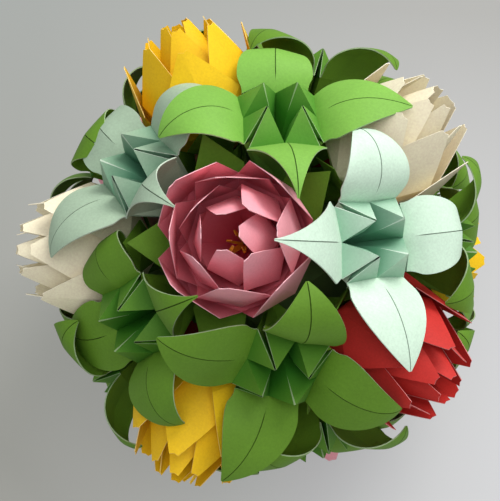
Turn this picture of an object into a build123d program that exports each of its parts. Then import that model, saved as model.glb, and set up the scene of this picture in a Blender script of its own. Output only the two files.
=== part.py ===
from build123d import *
import math
import os

# Kusudama paper ball: folded lilies and nested tulips glued round a hidden core.
# The ball's centre is the origin while it is built, +Z points up.

# Square sheets before folding
lily_square = 150.0
cup_square = 120.0
sheet_thickness = 0.36
petal_layers = 2
cup_layers = 4

# Clearances
seat_clearance = 0.3
nest_clearance = 0.45

# Core
core_radius = 46.4

# Lily stem and throat
stem_tip_radius = 1.4
throat_radius = 3.0
throat_depth = 22.0
shoulder_radius = 24.6
channel_gap = 3.4
ear_radius = 11.3
ear_rise = 15.2
ear_wall = 1.0
throat_wall = 4.0

# Lily petals
bend_rise = 1.0
petal_trim = 4.0
petal_flatness = 82.0

# Tulip
tulip_stand = 11.8
stamen_height = 30.0
stamen_width = 3.0
stamen_spread = 6.0

# Calyx
collar_radius = 8.0
leaf_gap = 1.5
leaf_drop = 2.0
leaf_half_width = 13.0
leaf_side_rise = 0.5
leaf_tip_reach = 16.5
leaf_tip_rise = 11.5

# Angles of a square and of a half turn
quarter_turn = 90
half_turn = 180

paper_corner = math.sqrt(0.5)
ear_leg = lily_square / 2 * (1 - paper_corner)
stem_length = lily_square / 2 * paper_corner
petal_length = lily_square / 2 * paper_corner
bend_radius = shoulder_radius * paper_corner
lily_seat = core_radius + seat_clearance
tulip_base = lily_seat + tulip_stand


def turn(degrees):
    """Unit vector in the XY plane at an angle in degrees."""
    angle = math.radians(degrees)
    return Vector(math.cos(angle), math.sin(angle), 0)


def polar(radius, azimuth, height):
    """Point given by its radius, its azimuth in degrees and its height."""
    return turn(azimuth) * radius + Vector(0, 0, height)


def direction(azimuth, zenith):
    """Unit vector given by azimuth and by zenith angle in degrees."""
    tilt = math.radians(zenith)
    return turn(azimuth) * math.sin(tilt) + Vector(0, 0, math.cos(tilt))


def polyhedron(loops):
    """Closed solid from flat faces, each given as a loop of points."""
    faces = [Face(Wire.make_polygon(loop)) for loop in loops]
    return Solid(Shell(faces))


def folded_sheet(points, triangles, thickness):
    """Closed solid of a folded sheet: its middle surface, made thick on both sides."""
    normals = {}
    for corners in triangles:
        a, b, c = (points[key] for key in corners)
        normal = (b - a).cross(c - a).normalized()
        for key in corners:
            normals.setdefault(key, []).append(normal)
    front = {}
    back = {}
    for key, around in normals.items():
        mean = sum(around, Vector(0, 0, 0)).normalized()
        slant = max(0.4, sum(mean.dot(normal) for normal in around) / len(around))
        offset = mean * (thickness / 2 / slant)
        front[key] = points[key] + offset
        back[key] = points[key] - offset
    edges = set()
    for a, b, c in triangles:
        edges.update([(a, b), (b, c), (c, a)])
    loops = []
    for a, b, c in triangles:
        loops.append([front[a], front[b], front[c]])
        loops.append([back[c], back[b], back[a]])
    for a, b in edges:
        if (b, a) not in edges:
            loops.append([front[b], front[a], back[a]])
            loops.append([front[b], back[a], back[b]])
    return polyhedron(loops)


# Lily

# Stations along a petal and its half-width there, as shares of the petal length and of the ear leg
petal_station_shares = (0.16, 0.36, 0.58, 0.80)
petal_width_shares = (0.84, 0.82, 0.66, 0.38)


def shoulder(arm, side):
    """Shoulder corner of the arm's sheet, on its left (+1) or right (-1) side."""
    spread = math.degrees(math.asin(channel_gap / 2 / shoulder_radius))
    return polar(shoulder_radius, arm + side * spread, stem_length)


def ear_tip(arm):
    """Tip of the ear that stands on an arm."""
    return polar(ear_radius, arm, stem_length + ear_rise)


def petal_bend(azimuth):
    """Middle of the line along which a petal bends outward, on its upper face."""
    return polar(bend_radius, azimuth, stem_length + bend_rise)


def lily_stem(azimuth):
    """Faces of the pleated stem: a four-armed star that tapers to a small blunt tip."""
    ring = []
    for quarter in range(4):
        petal = azimuth + quarter * quarter_turn
        arm = petal + quarter_turn / 2
        ring += [polar(throat_radius, petal, stem_length - throat_depth), shoulder(arm, -1)]
        ring += [polar(throat_radius, arm, stem_length), shoulder(arm, 1)]
    share = stem_tip_radius / shoulder_radius
    tip = [Vector(p.X * share, p.Y * share, 0) for p in ring]
    loops = [tip]
    for i, point in enumerate(ring):
        following = (i + 1) % len(ring)
        loops.append([tip[i], tip[following], ring[following]])
        loops.append([tip[i], ring[following], point])
    return loops


def lily_ear(arm):
    """Faces of an ear between two petals: a fold at the throat and a narrow channel behind it."""
    tip = ear_tip(arm)
    channel = polar(throat_radius, arm, stem_length)
    fold = polar(throat_radius - ear_wall, arm, stem_length)
    floor = Vector(0, 0, stem_length - throat_depth + throat_wall)
    loops = []
    for side in (1, -1):
        corner = shoulder(arm, side)
        bend = petal_bend(arm + side * quarter_turn / 2)
        loops.append([channel, corner, tip][::side])
        loops.append([corner, bend, tip][::side])
        loops.append([bend, fold, tip][::side])
        loops.append([bend, floor, fold][::side])
    return loops


def lily_petal(azimuth, rise, curl, hook, sweep):
    """Faces of a petal that leaves the throat at an angle, curls outward and hooks at its tip."""
    layers = Vector(0, 0, -petal_layers * sheet_thickness)
    throat = polar(throat_radius, azimuth, stem_length - throat_depth)
    crease = petal_bend(azimuth)
    corners = shoulder(azimuth + quarter_turn / 2, -1), shoulder(azimuth - quarter_turn / 2, 1)
    top = [(corners[0], crease, corners[1])]
    under = [(corners[0], crease + layers, corners[1])]
    loops = [[throat, corners[0], under[0][1]][::-1], [throat, corners[1], under[0][1]]]
    length = petal_length - bend_rise - petal_trim
    walked = 0
    for share, width in zip(petal_station_shares + (1.0,), petal_width_shares + (0,)):
        middle = (walked + share) / 2
        slope = math.radians(rise - curl * middle - hook * middle ** 3)
        ahead = turn(azimuth + sweep * middle)
        crease += (ahead * math.cos(slope) + Vector(0, 0, math.sin(slope))) * (length * (share - walked))
        slope = math.radians(rise - curl * share - hook * share ** 3)
        normal = turn(azimuth + sweep * share) * -math.sin(slope) + Vector(0, 0, math.cos(slope))
        across = turn(azimuth + quarter_turn + sweep * share)
        reach = ear_leg * width
        side = across * (reach * math.sin(math.radians(petal_flatness)))
        droop = normal * (reach * math.cos(math.radians(petal_flatness)))
        row = (crease + side - droop, crease, crease - side - droop)
        top.append(row)
        under.append(tuple(point - normal * (petal_layers * sheet_thickness) for point in row))
        walked = share
    for i in range(len(top) - 1):
        last = i == len(top) - 2
        for rows, order in ((top, 1), (under, -1)):
            left, middle, right = rows[i]
            next_left, ahead, next_right = rows[i + 1]
            if last:
                loops += [[left, middle, ahead][::order], [middle, right, ahead][::order]]
                continue
            loops += [[left, middle, ahead][::order], [left, ahead, next_left][::order]]
            loops += [[middle, right, ahead][::order], [ahead, right, next_right][::order]]
        for edge, order in ((0, 1), (2, -1)):
            tip_edge = 1 if last else edge
            if i:
                loops.append([top[i][edge], top[i + 1][tip_edge], under[i][edge]][::order])
            loops.append([top[i + 1][tip_edge], under[i + 1][tip_edge], under[i][edge]][::order])
    return loops


def lily(azimuth, petals):
    """Whole lily as one folded sheet, its stem tip at the origin, its axis along +Z."""
    loops = lily_stem(azimuth)
    for quarter, bends in enumerate(petals):
        petal = azimuth + quarter * quarter_turn
        loops += lily_ear(petal + quarter_turn / 2)
        loops += lily_petal(petal, *bends)
    return polyhedron(loops)


# Tulip

# Each cup from inside to outside: radius and height above the tulip's base of its petal tips, of the
# side corners and of the belly, radius and height of the joint between petals, as shares of the sheet
cup_tip_shares = ((0.065, 0.621), (0.128, 0.604), (0.193, 0.579), (0.265, 0.529))
cup_side_shares = ((0.141, 0.421), (0.201, 0.388), (0.2575, 0.354), (0.301, 0.321))
cup_belly_shares = ((0.173, 0.254), (0.217, 0.225), (0.2525, 0.196), (0.2895, 0.163))
cup_joint_shares = ((0.1535, 0.313), (0.195, 0.267), (0.2345, 0.233), (0.272, 0.192))
cup_side_angles = (38, 33, 33, 33)


def cup(layer, azimuth):
    """One nested cup: a folded square whose corners are four creased petals."""
    bottom = tulip_base + (cup_layers - 1 - layer) * (sheet_thickness + nest_clearance)

    def place(shares, angle):
        radius, height = shares
        return polar(radius * cup_square, azimuth + angle, tulip_base + height * cup_square)

    points = {"base": Vector(0, 0, bottom)}
    triangles = []
    for quarter in range(4):
        angle = quarter * quarter_turn
        side_angle = cup_side_angles[layer]
        tip, belly, joint = f"tip_{quarter}", f"belly_{quarter}", f"joint_{quarter}"
        last_joint = f"joint_{(quarter + 3) % 4}"
        left, right = f"left_{quarter}", f"right_{quarter}"
        points[tip] = place(cup_tip_shares[layer], angle)
        points[belly] = place(cup_belly_shares[layer], angle)
        points[joint] = place(cup_joint_shares[layer], angle + quarter_turn / 2)
        points[left] = place(cup_side_shares[layer], angle + side_angle)
        points[right] = place(cup_side_shares[layer], angle - side_angle)
        triangles += [("base", belly, joint), (belly, left, joint), (belly, tip, left)]
        triangles += [("base", last_joint, belly), (belly, last_joint, right), (belly, right, tip)]
    return folded_sheet(points, triangles, sheet_thickness)


def calyx():
    """Green sheet under a tulip, with four leaves fanned over four of the five gaps between lilies."""
    fan = 72
    cup_radius, cup_height = (share * cup_square for share in cup_belly_shares[3])
    belly_radius = cup_radius + leaf_gap
    belly_height = tulip_base + cup_height - leaf_drop
    side_radius = math.hypot(leaf_half_width, belly_radius)
    side_angle = math.degrees(math.atan2(leaf_half_width, belly_radius))
    collar_height = tulip_base + cup_height / cup_radius * collar_radius - sheet_thickness - nest_clearance
    points = {"base": Vector(0, 0, core_radius + seat_clearance + sheet_thickness)}
    triangles = []
    for leaf in range(5):
        points[f"collar_{leaf}"] = polar(collar_radius, leaf * fan, collar_height)
        points[f"fold_{leaf}"] = polar(collar_radius, leaf * fan + fan / 2, collar_height)
    for leaf in range(5):
        collar, fold, last_fold = f"collar_{leaf}", f"fold_{leaf}", f"fold_{(leaf + 4) % 5}"
        triangles += [("base", collar, fold), ("base", last_fold, collar)]
        if leaf == 4:
            continue
        tip, belly, left, right = (f"{name}_{leaf}" for name in ("tip", "belly", "left", "right"))
        points[belly] = polar(belly_radius, leaf * fan, belly_height)
        points[left] = polar(side_radius, leaf * fan + side_angle, belly_height + leaf_side_rise)
        points[right] = polar(side_radius, leaf * fan - side_angle, belly_height + leaf_side_rise)
        points[tip] = polar(belly_radius + leaf_tip_reach, leaf * fan, belly_height + leaf_tip_rise)
        triangles += [(collar, belly, left), (collar, left, fold), (belly, tip, left)]
        triangles += [(collar, right, belly), (collar, last_fold, right), (belly, right, tip)]
    return folded_sheet(points, triangles, sheet_thickness)


def stamen(azimuth):
    """Curled paper strip that stands on the inner cup."""
    bottom = tulip_base + (cup_layers - 1) * (sheet_thickness + nest_clearance) + seat_clearance
    across = turn(azimuth + 90) * (stamen_width / 2)
    reach_shares = (0.25, 0.45, 1.0, 0.55)
    height_shares = (0.16, 0.5, 0.85, 1.0)
    points = {}
    triangles = []
    for i, (reach, height) in enumerate(zip(reach_shares, height_shares)):
        middle = polar(stamen_spread * reach, azimuth, bottom + stamen_height * height)
        points[f"left_{i}"] = middle + across
        points[f"right_{i}"] = middle - across
        if i:
            triangles.append((f"left_{i - 1}", f"right_{i - 1}", f"right_{i}"))
            triangles.append((f"left_{i - 1}", f"right_{i}", f"left_{i}"))
    return folded_sheet(points, triangles, sheet_thickness)


# Where the flowers sit: the twelve tulips are at the corners of an icosahedron with a face on top
near_zenith = round(math.degrees(math.acos(math.sqrt((5 + math.sqrt(20)) / 15))), 3)
side_zenith = round(math.degrees(math.acos(math.sqrt((5 - math.sqrt(20)) / 15))), 3)
far_zenith = half_turn - near_zenith
under_zenith = half_turn - side_zenith
tulips = [
    direction(-90, near_zenith),
    direction(30, near_zenith),
    direction(150, near_zenith),
    direction(-30, side_zenith),
    direction(-150, side_zenith),
    direction(-90, under_zenith),
    direction(90, side_zenith),
    direction(30, under_zenith),
    direction(150, under_zenith),
    direction(-30, far_zenith),
    direction(-150, far_zenith),
    direction(90, far_zenith),
]

# Which three tulips stand round each lily
lily_corners = [
    (0, 1, 2), (0, 1, 3), (0, 2, 4), (0, 4, 5), (0, 3, 5),
    (1, 2, 6), (1, 3, 7), (1, 6, 7), (2, 4, 8), (2, 6, 8),
    (3, 5, 9), (3, 7, 9), (4, 5, 10), (4, 8, 10), (5, 9, 10),
    (6, 7, 11), (6, 8, 11), (7, 9, 11), (8, 10, 11), (9, 10, 11),
]

# Turn of each lily's first petal away from its first tulip, and turn of each tulip's inner cup
lily_turns = (25, 6, -8, -12, -41, -3, 5, -45, 27, 3, 0, -30, -36, -15, -35, -45, -4, -45, 5, -45)
tulip_turns = (-35, -45, -40, -45, -5, 0, -30, -45, -30, -45, -10, -45)

# Shape of the petals of the five lilies in front: rise, curl, hook and sweep in degrees
lily_petals = {
    0: ((51, 59, 47, 0), (56, 100, -32, -14), (56, 128, 44, -17), (51, 102, 5, 31)),
    1: ((50, 63, 1, -8), (54, 69, 0, 5), (67, 123, 50, 3), (70, 135, 25, 11)),
    2: ((61, 57, 69, 14), (42, 98, 57, -4), (58, 100, 27, 0), (54, 76, 26, 4)),
    3: ((57, 63, 34, -6), (49, 172, 84, 14), (23, 58, 11, -33), (70, 105, 46, 4)),
    4: ((78, 126, 10, 32), (33, 20, 48, -12), (58, 63, 1, -25), (59, 63, 42, 9)),
}


def frame(axis, facing):
    """Plane whose Z is the axis and whose X points toward another direction."""
    return Plane(origin=Vector(0, 0, 0), x_dir=facing - axis * axis.dot(facing), z_dir=axis)


def bearing(plane, target):
    """Azimuth of a direction as seen along the plane's Z, in degrees."""
    local = plane.to_local_coords(target)
    return math.degrees(math.atan2(local.Y, local.X))


def petal_shape(plane, azimuth, corners):
    """Bends of a petal: it stands high over a tulip and leans lower toward the next lily."""
    gaps = []
    for i in corners:
        gap = bearing(plane, tulips[i]) - azimuth
        gaps.append(abs((gap + half_turn) % (2 * half_turn) - half_turn))
    lean = min(gaps) / 60
    return 80 - 17 * lean, 95 + 45 * lean, 50, 0


def build_ball():
    """Every piece of the ball by name, each a list of solids."""
    nodes = {}
    for number, corners in enumerate(lily_corners):
        axis = sum((tulips[i] for i in corners), Vector(0, 0, 0)).normalized()
        plane = frame(axis, tulips[corners[0]])
        azimuth = lily_turns[number]
        petals = lily_petals.get(number)
        if petals is None:
            around = [azimuth + quarter * quarter_turn for quarter in range(4)]
            petals = [petal_shape(plane, petal, corners) for petal in around]
        shape = lily(azimuth, petals)
        place = plane.location * Location((0, 0, lily_seat))
        nodes[f"lily_{number + 1:02d}"] = [solid.moved(place) for solid in shape.solids()]
    cups = [cup(layer, quarter_turn / 2 * (layer % 2)) for layer in range(cup_layers)]
    leaves = calyx()
    curls = [stamen(azimuth) for azimuth in (20, 200)]
    nodes["stamens"] = []
    for number, axis in enumerate(tulips):
        beside = next(other for other in tulips if 0.4 < axis.dot(other) < 0.5)
        place = frame(axis, beside).location
        turned = place * Location((0, 0, 0), (0, 0, tulip_turns[number]))
        nodes[f"tulip_{number + 1:02d}_inner"] = [solid.moved(turned) for solid in cups[:2]]
        nodes[f"tulip_{number + 1:02d}_outer"] = [solid.moved(turned) for solid in cups[2:]]
        nodes[f"calyx_{number + 1:02d}"] = [leaves.moved(place)]
        nodes["stamens"] += [solid.moved(place) for solid in curls]
    core = Solid.make_box(core_radius * 4, core_radius * 4, core_radius * 4)
    core = core.moved(Location((-core_radius * 2, -core_radius * 2, -core_radius * 2)))
    seats = list(tulips)
    for corners in lily_corners:
        seats.append(sum((tulips[i] for i in corners), Vector(0, 0, 0)).normalized())
    for axis in seats:
        core = core.split(Plane(origin=axis * core_radius, z_dir=axis), keep=Keep.BOTTOM)
    nodes["core"] = [core]
    return nodes


nodes = build_ball()

# The finished ball stands on the origin, the middle of its box's underside
box = Compound([solid for solids in nodes.values() for solid in solids]).bounding_box()
stand = Location((-box.center().X, -box.center().Y, -box.min.Z))
os.makedirs("parts", exist_ok=True)
for name, solids in nodes.items():
    placed = [solid.moved(stand) for solid in solids]
    shape = placed[0] if len(placed) == 1 else Compound(placed)
    export_step(shape, f"parts/{name}.step")
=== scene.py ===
import math
import random

import bmesh
import bpy
import numpy as np
from mathutils import Matrix, Vector


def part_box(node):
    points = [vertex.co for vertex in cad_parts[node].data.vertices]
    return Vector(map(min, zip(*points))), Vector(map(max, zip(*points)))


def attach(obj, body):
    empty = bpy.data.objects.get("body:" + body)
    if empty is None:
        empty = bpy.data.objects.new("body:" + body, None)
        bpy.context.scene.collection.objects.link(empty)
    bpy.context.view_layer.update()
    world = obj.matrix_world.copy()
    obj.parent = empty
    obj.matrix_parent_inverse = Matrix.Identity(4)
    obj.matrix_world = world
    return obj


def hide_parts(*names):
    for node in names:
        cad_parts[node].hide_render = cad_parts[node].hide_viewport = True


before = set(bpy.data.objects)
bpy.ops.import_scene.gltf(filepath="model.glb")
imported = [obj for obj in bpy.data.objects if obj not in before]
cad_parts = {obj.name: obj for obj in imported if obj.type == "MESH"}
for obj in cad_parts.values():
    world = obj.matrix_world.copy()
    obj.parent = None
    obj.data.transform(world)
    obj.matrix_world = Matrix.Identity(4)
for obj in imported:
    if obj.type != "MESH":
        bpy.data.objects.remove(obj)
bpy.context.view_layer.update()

# Kusudama ball of folded paper: twenty lilies and twelve tulips round a hidden core.
# Lengths are in millimetres until a mesh is made, which turns them into metres.

millimetre = 0.001
core_low, core_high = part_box("core")
ball_centre = np.array((core_low + core_high) / 2)
random.seed(12)

# Sheets before folding, and the paper's thickness in a petal's layer, an ear's rim and a cup
lily_square = 150.0
cup_square = 120.0
petal_layers = 2
cup_layers = 4
layer_gap = 0.32
rim = 0.34
sheet_thickness = 0.36

# Core, and how the flowers stand on it
core_radius = 46.4
seat_clearance = 0.3
tulip_stand = 11.8
nest_clearance = 0.45
lily_seat = core_radius + seat_clearance
tulip_base = lily_seat + tulip_stand

# Lily
stem_tip_radius = 1.4
throat_radius = 3.0
throat_depth = 33.0
throat_wall = 4.0
shoulder_radius = 24.6
channel_gap = 3.4
ear_radius = 11.3
ear_rise = 15.2
ear_split = 0.45
ear_tip_rim_share = 0.3
ear_side_bulge = 0.5
ear_fold_bulge = -0.3
ridge_radius = 5.6
channel_radius = 7.4
bend_rise = 1.0
petal_trim = 4.0
petal_flatness = 82.0
petal_steps = 26
petal_lanes = (1.0, 0.86, 0.7, 0.52, 0.34, 0.17)
petal_station_shares = (0.0, 0.16, 0.36, 0.58, 0.80, 1.0)
petal_width_shares = (0.735, 0.84, 0.82, 0.66, 0.38, 0.03)
petal_width = np.polynomial.Polynomial.fit(petal_station_shares, petal_width_shares, 5)
slit_start_share = 0.12
slit_half_width = 0.27
slit_depth = 0.6
slit_run_share = 0.12
groove_run_share = 0.08
settled_share = 0.18
arch_round_share = 0.35
ripple_size = 0.5
ripple_turns = 7
# Petals that taper straight from their shoulder corners, because their sides are rolled under
tapered_lilies = (0, 1, 2, 3)
taper_share = 0.14
taper_power = 1.25

paper_corner = math.sqrt(0.5)
ear_leg = lily_square / 2 * (1 - paper_corner)
stem_length = lily_square / 2 * paper_corner
petal_length = lily_square / 2 * paper_corner
bend_radius = shoulder_radius * paper_corner

# Tulip
cup_steps = 8
cup_lanes = 5
petal_swell = 0.25
edge_bow = 0.4
tip_half_width = 2.2
tip_nick = 0.9
tip_lean = (-0.7, 0.3)
tip_shift = (-0.6, 0.6)
tip_drop = (0.1, 0.7)
side_swell = 0.15
base_swell = 0.4
joint_points = 4
base_points = 6
cup_tip_shares = ((0.065, 0.621), (0.128, 0.604), (0.193, 0.579), (0.265, 0.529))
cup_side_shares = ((0.141, 0.421), (0.201, 0.388), (0.2575, 0.354), (0.301, 0.321))
cup_belly_shares = ((0.173, 0.254), (0.217, 0.225), (0.2525, 0.196), (0.2895, 0.163))
cup_joint_shares = ((0.1535, 0.313), (0.195, 0.267), (0.2345, 0.233), (0.272, 0.192))
cup_side_angles = (38, 33, 33, 33)

# Stamens
stamen_bottom = tulip_base + (cup_layers - 1) * (sheet_thickness + nest_clearance) + seat_clearance
stamen_height = 30.0
stamen_half_width = 1.5
stamen_spread = 6.0
stamen_steps = 14
stamen_count = 6
first_stamen = 20
thin_width_share = 0.45
thin_height_shares = (0.72, 0.94)
stamen_taper = 0.6
stamen_shares = (0.0, 1 / 3, 2 / 3, 1.0)
stamen_reach = np.polynomial.Polynomial.fit(stamen_shares, (0.25, 0.45, 1.0, 0.55), 3)
stamen_rise = np.polynomial.Polynomial.fit(stamen_shares, (0.16, 0.5, 0.85, 1.0), 3)

# The tulips are at the corners of an icosahedron with a face on top
near_zenith = round(math.degrees(math.acos(math.sqrt((5 + math.sqrt(20)) / 15))), 3)
side_zenith = round(math.degrees(math.acos(math.sqrt((5 - math.sqrt(20)) / 15))), 3)
neighbour_cosine = 1 / math.sqrt(5)

# Mesh finish: what counts as a fold, and how close doubled points are, in metres
lily_fold_degrees = 24
cup_fold_degrees = 7
merge_distance = 2e-6
shortest_edge = 1e-6
no_direction = 1e-9


def turn(degrees):
    """Unit vector in the XY plane at an angle in degrees."""
    angle = math.radians(degrees)
    return np.array([math.cos(angle), math.sin(angle), 0.0])


def lift(height):
    """Vector straight up."""
    return np.array([0.0, 0.0, height])


def polar(radius, azimuth, height):
    """Point given by its radius, its azimuth in degrees and its height."""
    return turn(azimuth) * radius + lift(height)


def direction(azimuth, zenith):
    """Unit vector given by azimuth and by zenith angle in degrees."""
    tilt = math.radians(zenith)
    return turn(azimuth) * math.sin(tilt) + lift(math.cos(tilt))


def unit(vector):
    """Vector of length one."""
    return vector / np.linalg.norm(vector)


def blend(start, end, share):
    """Point between two others."""
    return start * (1 - share) + end * share


def ease(value):
    """Smooth step from 0 to 1."""
    value = min(1.0, max(0.0, value))
    return value * value * (3 - 2 * value)


# Layout of the ball, as in the model
tulips = [
    direction(-90, near_zenith), direction(30, near_zenith), direction(150, near_zenith),
    direction(-30, side_zenith), direction(-150, side_zenith), direction(-90, 180 - side_zenith),
    direction(90, side_zenith), direction(30, 180 - side_zenith), direction(150, 180 - side_zenith),
    direction(-30, 180 - near_zenith), direction(-150, 180 - near_zenith), direction(90, 180 - near_zenith),
]
lily_corners = [
    (0, 1, 2), (0, 1, 3), (0, 2, 4), (0, 4, 5), (0, 3, 5),
    (1, 2, 6), (1, 3, 7), (1, 6, 7), (2, 4, 8), (2, 6, 8),
    (3, 5, 9), (3, 7, 9), (4, 5, 10), (4, 8, 10), (5, 9, 10),
    (6, 7, 11), (6, 8, 11), (7, 9, 11), (8, 10, 11), (9, 10, 11),
]
# Turn of each lily's first petal away from its first tulip, and turn of each tulip's inner cup
lily_turns = (25, 6, -8, -12, -41, -3, 5, -45, 27, 3, 0, -30, -36, -15, -35, -45, -4, -45, 5, -45)
tulip_turns = (-35, -45, -40, -45, -5, 0, -30, -45, -30, -45, -10, -45)
# Petals of the five lilies in front: rise, curl, hook and sweep in degrees
lily_petals = {
    0: ((51, 59, 47, 0), (56, 100, -32, -14), (56, 128, 44, -17), (51, 102, 5, 31)),
    1: ((50, 63, 1, -8), (54, 69, 0, 5), (67, 123, 50, 3), (70, 135, 25, 11)),
    2: ((61, 57, 69, 14), (42, 98, 57, -4), (52, 128, 36, 0), (54, 76, 26, 4)),
    3: ((57, 63, 34, -6), (49, 172, 84, 14), (23, 58, 11, -33), (70, 105, 46, 4)),
    4: ((78, 126, 10, 32), (33, 20, 48, -12), (58, 63, 1, -25), (59, 63, 42, 9)),
}
# Papers: lily 0 has the green paper, and every lily that isn't named a darker copy of it, painted shade;
# lily 2 has a darker copy of the mint paper, painted shade
lily_colours = {0: "green", 1: "mint", 2: "shaded_mint"}
tulip_colours = (
    "pink", "cream", "yellow", "red", "cream", "yellow",
    "red", "yellow", "pink", "pink", "red", "cream",
)


def local_frame(axis, facing):
    """Rows are the X, Y and Z axes of a flower that points along the axis."""
    across = unit(facing - axis * axis.dot(facing))
    return np.array([across, np.cross(axis, across), axis])


def tulip_axes(number):
    """Axes of a tulip, with X toward a neighbouring one."""
    axis = tulips[number]
    near = (other for other in tulips if math.isclose(axis.dot(other), neighbour_cosine, abs_tol=0.05))
    return local_frame(axis, next(near))


def bearing(axes, target):
    """Azimuth of a direction as seen along a flower's axis, in degrees."""
    local = axes @ target
    return math.degrees(math.atan2(local[1], local[0]))


# Paper meshes
class Paper:
    """Faces of one folded piece: 0 plain paper, 1 a cut edge, 2 a slit, 3 far inside, 4 an ear's side.
    Kinds 2, 3 and 4 take painted shade.
    """

    def __init__(self):
        self.points = []
        self.faces = []
        self.kinds = []

    def face(self, corners, kind=0):
        """One face with its own copies of the corners, which are merged later."""
        start = len(self.points)
        self.points += list(corners)
        self.faces.append(tuple(range(start, start + len(corners))))
        self.kinds.append(kind)

    def rows(self, rows, kind=0, flip=False):
        """Skin over rows of points with the same number of points in each."""
        for near, far in zip(rows, rows[1:]):
            for i in range(len(near) - 1):
                corners = [near[i], far[i], far[i + 1], near[i + 1]]
                self.face(corners[::-1] if flip else corners, kind)

    def strip(self, upper, lower, kind=1, flip=False):
        """Edge between two lines of points."""
        self.rows([upper, lower], kind, flip)

    def triangle(self, a, b, c, steps=4, bulge=0.0, kind=0, flip=False):
        """Flat or slightly bulged triangle, cut into small ones."""
        normal = unit(np.cross(b - a, c - a))
        grid = []
        for i in range(steps + 1):
            line = []
            for j in range(i + 1):
                u = 1 - i / steps
                v = (i - j) / steps
                w = j / steps
                line.append(a * u + b * v + c * w + normal * (bulge * 27 * u * v * w))
            grid.append(line)
        for i in range(steps):
            for j in range(i + 1):
                corners = [grid[i][j], grid[i + 1][j], grid[i + 1][j + 1]]
                self.face(corners[::-1] if flip else corners, kind)
                if j < i:
                    corners = [grid[i][j], grid[i + 1][j + 1], grid[i][j + 1]]
                    self.face(corners[::-1] if flip else corners, kind)

    def build(self, name, axes, seat):
        """Blender object of the paper, placed with its base at a distance from the ball's centre."""
        points = (np.array(self.points) + lift(seat)) @ axes
        points = points * millimetre + ball_centre
        mesh = bpy.data.meshes.new(name)
        mesh.from_pydata(points.tolist(), [], self.faces)
        mesh.polygons.foreach_set("material_index", self.kinds)
        mesh.update()
        piece = bpy.data.objects.new(name, mesh)
        bpy.context.scene.collection.objects.link(piece)
        return piece


def finish_mesh(piece, sharp_degrees=lily_fold_degrees):
    """Merges the doubled points, points the faces outward and shades all but the folds smooth."""
    work = bmesh.new()
    work.from_mesh(piece.data)
    bmesh.ops.remove_doubles(work, verts=work.verts, dist=merge_distance)
    bmesh.ops.dissolve_degenerate(work, edges=work.edges, dist=shortest_edge)
    bmesh.ops.recalc_face_normals(work, faces=work.faces)
    work.to_mesh(piece.data)
    work.free()
    piece.data.polygons.foreach_set("use_smooth", [True] * len(piece.data.polygons))
    piece.data.set_sharp_from_angle(angle=math.radians(sharp_degrees))


# Lily
def shoulder(arm, side):
    """Shoulder corner of the arm's sheet, on its left (+1) or right (-1) side."""
    spread = math.degrees(math.asin(channel_gap / 2 / shoulder_radius))
    return polar(shoulder_radius, arm + side * spread, stem_length)


def ear_tip(arm, side=0):
    """Tip of the ear that stands on an arm, or of one of its two layers."""
    return polar(ear_radius, arm, stem_length + ear_rise) + turn(arm + 90) * (side * ear_split)


def petal_bend(azimuth):
    """Middle of the line along which a petal bends outward, on its upper face."""
    return polar(bend_radius, azimuth, stem_length + bend_rise)


def lily_stem(paper, azimuth):
    """Pleated stem: a four-armed star that tapers to a small blunt tip."""
    ring = []
    for quarter in range(4):
        petal = azimuth + quarter * 90
        arm = petal + 45
        ring += [polar(throat_radius, petal, stem_length - throat_depth), shoulder(arm, -1)]
        ring += [polar(channel_radius, arm, stem_length), shoulder(arm, 1)]
    share = stem_tip_radius / shoulder_radius
    tip = [point * np.array([share, share, 0]) for point in ring]
    paper.face(tip[::-1])
    paper.rows([tip + tip[:1], ring + ring[:1]], flip=True)


def lily_ear(paper, arm):
    """Ear between two petals: a fold at the throat and a narrow channel open outward behind it."""
    channel = polar(channel_radius, arm, stem_length)
    fold = polar(ridge_radius, arm, stem_length)
    floor = lift(stem_length - throat_depth + throat_wall)
    for side in (1, -1):
        corner = shoulder(arm, side)
        inward = turn(arm + 90) * (-side * rim)
        tip = ear_tip(arm, side)
        rim_tip = tip + inward * ear_tip_rim_share
        bend = petal_bend(arm + side * 45)
        flip = side < 0
        paper.triangle(channel, corner + inward, rim_tip, kind=3, flip=flip)
        paper.strip([corner, tip], [corner + inward, rim_tip], flip=flip)
        paper.triangle(corner, bend, tip, bulge=ear_side_bulge, kind=4, flip=flip)
        paper.triangle(bend, fold, tip, bulge=ear_fold_bulge, kind=3, flip=flip)
        paper.triangle(bend, floor, fold, kind=3, flip=flip)
    paper.face([ear_tip(arm, 1), ear_tip(arm, -1), fold], 1)


def tapered_width(share):
    """Half width of a petal whose sides are rolled under, as a share of the ear's leg."""
    if share < taper_share:
        return petal_width_shares[0] + (petal_width_shares[1] - petal_width_shares[0]) * share / taper_share
    return petal_width_shares[1] * ((1 - share) / (1 - taper_share)) ** taper_power + 0.02


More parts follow.
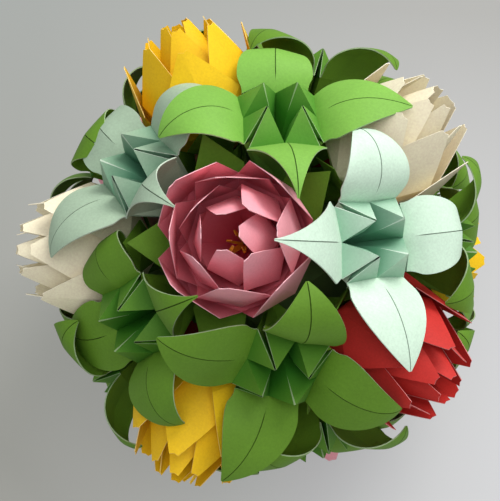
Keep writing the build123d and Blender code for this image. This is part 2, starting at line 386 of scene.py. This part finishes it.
def lily_petal(paper, azimuth, rise, curl, hook, sweep, tapered):
    """Petal of two layers that leaves the throat, curls outward and hooks at its tip."""
    bend = petal_bend(azimuth)
    crease = bend
    corners = shoulder(azimuth + 45, -1), shoulder(azimuth - 45, 1)
    throat = polar(throat_radius, azimuth, stem_length - throat_depth)
    length = petal_length - bend_rise - petal_trim
    step = 1 / petal_steps
    wave = [random.uniform(-ripple_size, ripple_size) for _ in range(4)]
    top, under, groove = [], [], []
    for i in range(petal_steps + 1):
        share = i * step
        if i:
            middle = share - step / 2
            slope = math.radians(rise - curl * middle - hook * middle ** 3)
            ahead = turn(azimuth + sweep * middle)
            crease = crease + (ahead * math.cos(slope) + lift(math.sin(slope))) * (length * step)
        slope = math.radians(rise - curl * share - hook * share ** 3)
        ahead = turn(azimuth + sweep * share)
        normal = ahead * -math.sin(slope) + lift(math.cos(slope))
        across = turn(azimuth + 90 + sweep * share)
        reach = ear_leg * (tapered_width(share) if tapered else float(petal_width(share)))
        settled = ease(share / settled_share)
        slit_width = slit_half_width * ease((share - slit_start_share) / slit_run_share)
        split = min(0.9 * reach * petal_lanes[-1], slit_width)
        lanes = list(petal_lanes) + [split / reach, 0.0]
        lanes = lanes + [-lane for lane in lanes[-2::-1]]
        upper, lower = [], []
        for lane in lanes:
            arch = lane * lane * arch_round_share + abs(lane) * (1 - arch_round_share)
            side = across * (reach * lane * math.sin(math.radians(petal_flatness)))
            droop = normal * (reach * arch * math.cos(math.radians(petal_flatness)))
            half = 0 if lane > 0 else 1
            phase = share * ripple_turns + wave[half + 2] * 3
            ripple = wave[half] * math.sin(phase) * lane * lane
            point = crease + side - droop + normal * (ripple * settled * min(1, 3 * (1 - share)))
            corner = corners[0] if lane > 0 else corners[1]
            start = crease + (corner - bend) * abs(lane)
            point = blend(start, point, settled)
            upper.append(point)
            lower.append(point - normal * (layer_gap * petal_layers))
        centre = len(lanes) // 2
        depth = slit_depth * ease((share - slit_start_share) / groove_run_share)
        upper[centre] = upper[centre] - normal * depth
        groove.append(upper[centre - 1:centre + 2])
        top.append(upper)
        under.append(lower)
    centre = len(top[0]) // 2
    start = int(slit_start_share * petal_steps)
    paper.rows([row[:centre] for row in top])
    paper.rows([row[centre + 1:] for row in top])
    paper.rows(groove[:start + 1])
    paper.rows(groove[start:], 2)
    paper.rows(under, flip=True)
    for edge, flip in ((0, True), (-1, False)):
        paper.strip([row[edge] for row in top], [row[edge] for row in under], flip=flip)
    paper.strip(top[-1], under[-1])
    lower = under[0]
    paper.triangle(throat, lower[centre], corners[0])
    paper.triangle(throat, corners[1], lower[centre])


def petal_shape(axes, azimuth, corners):
    """Bends of a petal: it stands high over a tulip and leans lower toward the next lily."""
    gaps = [abs((bearing(axes, tulips[i]) - azimuth + 180) % 360 - 180) for i in corners]
    lean = min(gaps) / 60
    return 80 - 17 * lean, 95 + 45 * lean, 50, 0


def lily(name, number):
    """One whole lily."""
    corners = lily_corners[number]
    axis = unit(sum(tulips[i] for i in corners))
    axes = local_frame(axis, tulips[corners[0]])
    azimuth = lily_turns[number]
    petals = lily_petals.get(number)
    if petals is None:
        petals = [petal_shape(axes, azimuth + quarter * 90, corners) for quarter in range(4)]
    paper = Paper()
    lily_stem(paper, azimuth)
    for quarter, bends in enumerate(petals):
        lily_ear(paper, azimuth + 45 + quarter * 90)
        lily_petal(paper, azimuth + quarter * 90, *bends, quarter == 0 and number in tapered_lilies)
    piece = paper.build(name, axes, lily_seat)
    finish_mesh(piece)
    return piece


# Tulip
def away_from_axis(point):
    """Unit vector straight out from a flower's axis, toward a point."""
    return unit(point * np.array([1, 1, 0]) + no_direction)


def patch(paper, crease, edge, flip, swell=0.0):
    """Thin sheet between the line of a crease and the line of an edge."""
    skin = []
    for i, (start, end) in enumerate(zip(crease, edge)):
        out = away_from_axis(start + end)
        along = math.sin(math.pi * i / (len(crease) - 1))
        line = []
        for j in range(cup_lanes + 1):
            share = j / cup_lanes
            line.append(blend(start, end, share) + out * (swell * 4 * share * (1 - share) * along))
        skin.append(line)
    inner = [[point - away_from_axis(point) * sheet_thickness for point in line] for line in skin]
    paper.rows(skin, flip=flip)
    paper.rows(inner, 3, flip=not flip)
    return skin, inner


def line_between(start, end, count, bow=None):
    """Straight or slightly bowed line of points."""
    shares = [i / (count - 1) for i in range(count)]
    bow = np.zeros(3) if bow is None else bow
    return [blend(start, end, share) + bow * (4 * share * (1 - share)) for share in shares]


def cup(paper, layer, azimuth):
    """One nested cup: a folded square whose corners are four creased petals with blunt, nicked tips."""
    base = lift(tulip_base + (cup_layers - 1 - layer) * (sheet_thickness + nest_clearance))

    def place(shares, angle):
        radius, height = shares
        return polar(radius * cup_square, azimuth + angle, tulip_base + height * cup_square)

    for quarter in range(4):
        angle = quarter * 90
        outward = turn(azimuth + angle)
        lean = random.uniform(*tip_lean)
        shift = random.uniform(*tip_shift)
        tip = place(cup_tip_shares[layer], angle)
        tip = tip + outward * lean + turn(azimuth + angle + 90) * shift
        belly = place(cup_belly_shares[layer], angle)
        along = unit(tip - belly)
        middle = line_between(belly, tip - along * tip_nick, cup_steps + 1, outward * petal_swell)
        for side in (1, -1):
            flip = side > 0
            sideways = turn(azimuth + angle + 90) * side
            joint = place(cup_joint_shares[layer], angle + side * 45)
            corner = place(cup_side_shares[layer], angle + side * cup_side_angles[layer])
            top = tip + sideways * tip_half_width - along * random.uniform(*tip_drop)
            bow = unit(sideways + along) * edge_bow
            edge = line_between(corner, top, cup_steps + 1, bow)
            skin, inner = patch(paper, middle, edge, flip, side_swell)
            paper.strip([line[-1] for line in skin], [line[-1] for line in inner], flip=flip)
            paper.strip(skin[-1], inner[-1], flip=not flip)
            low = line_between(joint, corner, joint_points)
            patch(paper, line_between(belly, belly, joint_points), low, flip)
            to_belly = line_between(base, belly, base_points)
            to_joint = line_between(base, joint, base_points)
            patch(paper, to_belly, to_joint, flip, base_swell)


def tulip(number):
    """Four nested cups of one tulip, as two pieces."""
    axes = tulip_axes(number)
    pieces = []
    for part, layers in (("inner", (0, 1)), ("outer", (2, 3))):
        paper = Paper()
        for layer in layers:
            cup(paper, layer, tulip_turns[number] + 45 * (layer % 2))
        name = f"tulip_{number + 1:02d}_{part}"
        piece = paper.build("paper_" + name, axes, 0)
        finish_mesh(piece, cup_fold_degrees)
        pieces.append((piece, name))
    return pieces


def stamens():
    """Curled strips in the middle of every tulip: two wide ones and four thin ones between them."""
    paper = Paper()
    for number in range(len(tulips)):
        axes = tulip_axes(number)
        for strip in range(stamen_count):
            azimuth = first_stamen + strip * 360 / stamen_count
            wide = strip % 3 == 0
            height = stamen_height * (1 if wide else random.uniform(*thin_height_shares))
            half_width = stamen_half_width * (1 if wide else thin_width_share)
            sheets = [], []
            for i in range(stamen_steps + 1):
                share = i / stamen_steps
                reach = stamen_spread * min(1.0, float(stamen_reach(share)))
                rise = stamen_bottom + height * min(1.0, float(stamen_rise(share)))
                middle = polar(reach, azimuth, rise)
                across = turn(azimuth + 90) * (half_width * (1 - stamen_taper * share * share))
                for sheet, inset in zip(sheets, (0, sheet_thickness)):
                    back = turn(azimuth) * -inset
                    sheet.append([(middle + back - across) @ axes, (middle + back + across) @ axes])
            outer, inner = sheets
            paper.rows(outer)
            paper.rows(inner, flip=True)
            for side in (0, 1):
                paper.strip([row[side] for row in outer], [row[side] for row in inner], flip=side == 0)
            paper.strip(outer[-1], inner[-1])
            paper.strip(outer[0], inner[0], flip=True)
    piece = paper.build("paper_stamens", np.eye(3), 0)
    finish_mesh(piece)
    return piece


# Paper
paper_colours = {
    "green": (0.200, 0.440, 0.065),
    "leaf": (0.122, 0.262, 0.020),
    "mint": (0.61, 0.79, 0.64),
    "shaded_mint": (0.38, 0.51, 0.37),
    "pink": (0.97, 0.40, 0.46),
    "yellow": (0.97, 0.58, 0.010),
    "cream": (0.96, 0.84, 0.62),
    "red": (0.58, 0.030, 0.024),
    "orange": (0.92, 0.45, 0.03),
}
# The core's near-black green is painted shade, for the dark gaps between the flowers
core_shade_colour = (0.085, 0.150, 0.045)
# Painted shade: the papers far inside a flower turn to these darker colours, where light only comes off
# paper of the same colour
painted_shade_colours = {
    "green": (0.040, 0.220, 0.014),
    "leaf": (0.030, 0.180, 0.012),
    "mint": (0.13, 0.36, 0.22),
    "shaded_mint": (0.10, 0.28, 0.17),
    "pink": (0.66, 0.07, 0.12),
    "yellow": (0.70, 0.30, 0.008),
    "cream": (0.62, 0.46, 0.22),
    "red": (0.28, 0.010, 0.010),
    "orange": (0.60, 0.18, 0.01),
}
# Distances from the ball's centre between which a paper turns from painted shade to plain, in metres
throat_shade_range = (0.098, 0.126)
ear_shade_range = (0.093, 0.119)
tulip_shade_range = (0.070, 0.118)

paper_roughness = 0.62
paper_specular = 0.25
fibre_scale = 900
cloud_scale = 45
darkest_share = 0.86
lightest_share = 1.12
fibre_strength = 0.25
fibre_height = 0.0002
edge_paleness = 0.2
slit_shade = 0.5


def paper_material(name, colour, pale=0.0, painted_shade=None, shade_range=throat_shade_range):
    """Matte craft paper with fine fibres, which may have painted shade, a darker colour toward the ball's
    centre.
    """
    material = bpy.data.materials.new(name)
    material.use_nodes = True
    nodes, links = material.node_tree.nodes, material.node_tree.links
    shader = nodes["Principled BSDF"]
    shader.inputs["Roughness"].default_value = paper_roughness
    shader.inputs["Specular IOR Level"].default_value = paper_specular
    place = nodes.new("ShaderNodeTexCoord")
    fibre = nodes.new("ShaderNodeTexNoise")
    fibre.inputs["Scale"].default_value = fibre_scale
    fibre.inputs["Detail"].default_value = 4
    cloud = nodes.new("ShaderNodeTexNoise")
    cloud.inputs["Scale"].default_value = cloud_scale
    cloud.inputs["Detail"].default_value = 3
    links.new(place.outputs["Object"], fibre.inputs["Vector"])
    links.new(place.outputs["Object"], cloud.inputs["Vector"])
    ramp = nodes.new("ShaderNodeValToRGB")
    base = [blend(channel, 1.0, pale) for channel in colour]
    ramp.color_ramp.elements[0].color = [channel * darkest_share for channel in base] + [1]
    ramp.color_ramp.elements[1].color = [min(1, channel * lightest_share) for channel in base] + [1]
    ramp.color_ramp.elements[0].position = 0.3
    ramp.color_ramp.elements[1].position = 0.7
    mix = nodes.new("ShaderNodeMath")
    mix.operation = "ADD"
    half = nodes.new("ShaderNodeMath")
    half.operation = "MULTIPLY"
    half.inputs[1].default_value = 0.5
    links.new(fibre.outputs["Fac"], mix.inputs[0])
    links.new(cloud.outputs["Fac"], mix.inputs[1])
    links.new(mix.outputs[0], half.inputs[0])
    links.new(half.outputs[0], ramp.inputs["Fac"])
    links.new(ramp.outputs["Color"], shader.inputs["Base Color"])
    if painted_shade:
        away = nodes.new("ShaderNodeVectorMath")
        away.operation = "DISTANCE"
        away.inputs[1].default_value = ball_centre.tolist()
        links.new(place.outputs["Object"], away.inputs[0])
        share = nodes.new("ShaderNodeMapRange")
        share.inputs["From Min"].default_value = shade_range[0]
        share.inputs["From Max"].default_value = shade_range[1]
        links.new(away.outputs["Value"], share.inputs["Value"])
        tint = nodes.new("ShaderNodeMixRGB")
        tint.inputs["Color1"].default_value = painted_shade + (1,)
        links.new(share.outputs["Result"], tint.inputs["Fac"])
        links.new(ramp.outputs["Color"], tint.inputs["Color2"])
        links.new(tint.outputs["Color"], shader.inputs["Base Color"])
    bump = nodes.new("ShaderNodeBump")
    bump.inputs["Strength"].default_value = fibre_strength
    bump.inputs["Distance"].default_value = fibre_height
    links.new(fibre.outputs["Fac"], bump.inputs["Height"])
    links.new(bump.outputs["Normal"], shader.inputs["Normal"])
    return material


lily_papers = ("green", "leaf", "mint", "shaded_mint")
# Slots of the record that the two darker papers belong to; these two papers are darker copies of the green
# and mint papers, painted shade
papers, edges, slits, inside_shades, ear_shades = {}, {}, {}, {}, {}
for name, colour in paper_colours.items():
    painted_shade = painted_shade_colours[name]
    shade_range = throat_shade_range if name in lily_papers else tulip_shade_range
    papers[name] = paper_material(name + "_paper", colour)
    edges[name] = paper_material(name + "_edge", colour, edge_paleness)
    # A petal's slit is painted darker, painted shade in its groove
    slits[name] = paper_material(name + "_slit", tuple(channel * slit_shade for channel in colour))
    # Faces far inside a flower take painted shade, darker toward the ball's centre
    inside_shades[name] = paper_material(name + "_painted_shade", colour, 0.0, painted_shade, shade_range)
    if name in lily_papers:
        # The sides of an ear take painted shade too
        ear_shades[name] = paper_material(name + "_ear_shade", colour, 0.0, painted_shade, ear_shade_range)
core_paper = paper_material("core_paper", core_shade_colour)


def dress(piece, colour, *nodes):
    """Gives a piece its paper, and lets it stand for its solids."""
    for kind in (papers, edges, slits, inside_shades, ear_shades):
        piece.data.materials.append(kind.get(colour, papers[colour]))
    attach(piece, "root")
    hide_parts(*nodes)


for number in range(len(lily_corners)):
    node = f"lily_{number + 1:02d}"
    dress(lily("paper_" + node, number), lily_colours.get(number, "leaf"), node)
for number, colour in enumerate(tulip_colours):
    for piece, node in tulip(number):
        dress(piece, colour, node)
dress(stamens(), "orange", "stamens")


def repaint(node, paper):
    """Puts a paper on a solid that stays as it is."""
    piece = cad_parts[node]
    piece.data.materials.clear()
    piece.data.materials.append(paper)


# The calyx sheets take the darker copy of the green paper, painted shade
for number in range(len(tulips)):
    repaint(f"calyx_{number + 1:02d}", papers["leaf"])
repaint("core", core_paper)

# Camera: the photograph's view, measured from the ball's centre
camera_distance = 488.0
camera_lens = 63.0
sensor_width = 36
camera_turn = Vector((-0.067, -0.134, 0.012))
frame_width_pixels = 500
shift_right = -13.8 / frame_width_pixels
shift_up = 3.0 / frame_width_pixels

pink_axis = tulips[0]
toward_mint = unit(sum(tulips[i] for i in lily_corners[1]))
view_axes = local_frame(pink_axis, toward_mint)
spin = np.array(Matrix.Rotation(camera_turn.length, 3, camera_turn.normalized()))
camera_axes = spin @ view_axes
camera_data = bpy.data.cameras.new("camera")
camera_data.lens = camera_lens
camera_data.sensor_width = sensor_width
camera_data.shift_x = shift_right
camera_data.shift_y = shift_up
camera = bpy.data.objects.new("camera", camera_data)
bpy.context.scene.collection.objects.link(camera)
camera.matrix_world = (
    Matrix.Translation(ball_centre + camera_axes[2] * camera_distance * millimetre)
    @ Matrix(camera_axes.T.tolist()).to_4x4()
)
bpy.context.scene.camera = camera

# Floor and light
floor_size = 12
floor_colour = (0.52, 0.52, 0.51, 1)
painted_light_share = 0.65
# Glowing colours of the floor at the frame's corners, painted shadow and painted light: darkest at the
# bottom left, where the ball's shadow falls, and brightest at the bottom right
bottom_left = (0.29, 0.29, 0.25)
bottom_right = (0.76, 0.77, 0.81)
top_left = (0.32, 0.35, 0.33)
top_right = (0.40, 0.40, 0.38)
world_colour = (0.97, 0.98, 1, 1)
world_strength = 0.44

bpy.ops.mesh.primitive_plane_add(size=floor_size, location=(0, 0, 0))
floor = bpy.context.object
floor.name = "floor"
floor_material = bpy.data.materials.new("floor")
floor_material.use_nodes = True
floor_nodes, floor_links = floor_material.node_tree.nodes, floor_material.node_tree.links
floor_shader = floor_nodes["Principled BSDF"]
floor_shader.inputs["Base Color"].default_value = floor_colour
floor_shader.inputs["Roughness"].default_value = 0.8
# Seen directly, the floor glows with painted light and painted shadow, fading from a dim side to a bright
# corner, and keeps part of its real shadow
floor_place = floor_nodes.new("ShaderNodeTexCoord")


def floor_point(right, up):
    """Point of the floor that the camera shows at a share of the frame's width to the right and up."""
    sensor_share = sensor_width / camera_lens
    sideways = camera_axes[0] * ((right + shift_right) * sensor_share)
    upward = camera_axes[1] * ((up + shift_up) * sensor_share)
    ray = sideways + upward - camera_axes[2]
    eye = ball_centre + camera_axes[2] * camera_distance * millimetre
    return eye - ray * (eye[2] / ray[2])


def floor_share(start, end):
    """Output that goes from 0 to 1 between two points of the floor."""
    along = floor_nodes.new("ShaderNodeVectorMath")
    along.operation = "DOT_PRODUCT"
    along.inputs[1].default_value = unit(end - start).tolist()
    floor_links.new(floor_place.outputs["Object"], along.inputs[0])
    span = floor_nodes.new("ShaderNodeMapRange")
    span.inputs["From Min"].default_value = float(start.dot(unit(end - start)))
    span.inputs["From Max"].default_value = float(end.dot(unit(end - start)))
    floor_links.new(along.outputs["Value"], span.inputs["Value"])
    return span.outputs["Result"]


def fade(start, end, factor):
    """Node that fades between two colours, or between the outputs of two nodes."""
    node = floor_nodes.new("ShaderNodeMixRGB")
    for socket, value in (("Color1", start), ("Color2", end)):
        if isinstance(value, tuple):
            node.inputs[socket].default_value = value + (1,)
        else:
            floor_links.new(value.outputs["Color"], node.inputs[socket])
    floor_links.new(factor, node.inputs["Fac"])
    return node


to_right = floor_share(floor_point(-0.5, 0), floor_point(0.5, 0))
to_top = floor_share(floor_point(0, -0.5), floor_point(0, 0.5))
bottom_fade = fade(bottom_left, bottom_right, to_right)
top_fade = fade(top_left, top_right, to_right)
painted_backdrop = fade(bottom_fade, top_fade, to_top)
glow = floor_nodes.new("ShaderNodeEmission")
floor_links.new(painted_backdrop.outputs["Color"], glow.inputs["Color"])
rays = floor_nodes.new("ShaderNodeLightPath")
seen = rays.outputs["Is Camera Ray"]
for kind in ("Is Glossy Ray", "Is Transmission Ray"):
    either = floor_nodes.new("ShaderNodeMath")
    either.operation = "MAXIMUM"
    floor_links.new(seen, either.inputs[0])
    floor_links.new(rays.outputs[kind], either.inputs[1])
    seen = either.outputs[0]
part = floor_nodes.new("ShaderNodeMath")
part.operation = "MULTIPLY"
part.inputs[1].default_value = painted_light_share
floor_links.new(seen, part.inputs[0])
surface = floor_nodes.new("ShaderNodeMixShader")
floor_links.new(part.outputs[0], surface.inputs["Fac"])
floor_links.new(floor_shader.outputs["BSDF"], surface.inputs[1])
floor_links.new(glow.outputs["Emission"], surface.inputs[2])
floor_links.new(surface.outputs["Shader"], floor_nodes["Material Output"].inputs["Surface"])
floor.data.materials.append(floor_material)

world = bpy.data.worlds.new("world")
world.use_nodes = True
world.node_tree.nodes["Background"].inputs["Color"].default_value = world_colour
world.node_tree.nodes["Background"].inputs["Strength"].default_value = world_strength
bpy.context.scene.world = world


def area_light(name, from_camera, size, power, colour=(1, 1, 1)):
    """Soft light whose place is given along the camera's right, up and back axes, in metres."""
    data = bpy.data.lights.new(name, "AREA")
    data.size = size
    data.energy = power
    data.color = colour
    lamp = bpy.data.objects.new(name, data)
    bpy.context.scene.collection.objects.link(lamp)
    place = Vector(ball_centre + np.array(from_camera) @ camera_axes)
    lamp.location = place
    lamp.rotation_euler = (place - Vector(ball_centre)).to_track_quat("Z", "Y").to_euler()


area_light("window", (0.50, 1.00, 0.62), 0.7, 13.5, (1, 0.98, 0.95))
area_light("room", (0.10, 0.25, 1.20), 0.8, 5)
bpy.context.scene.view_settings.view_transform = "Standard"
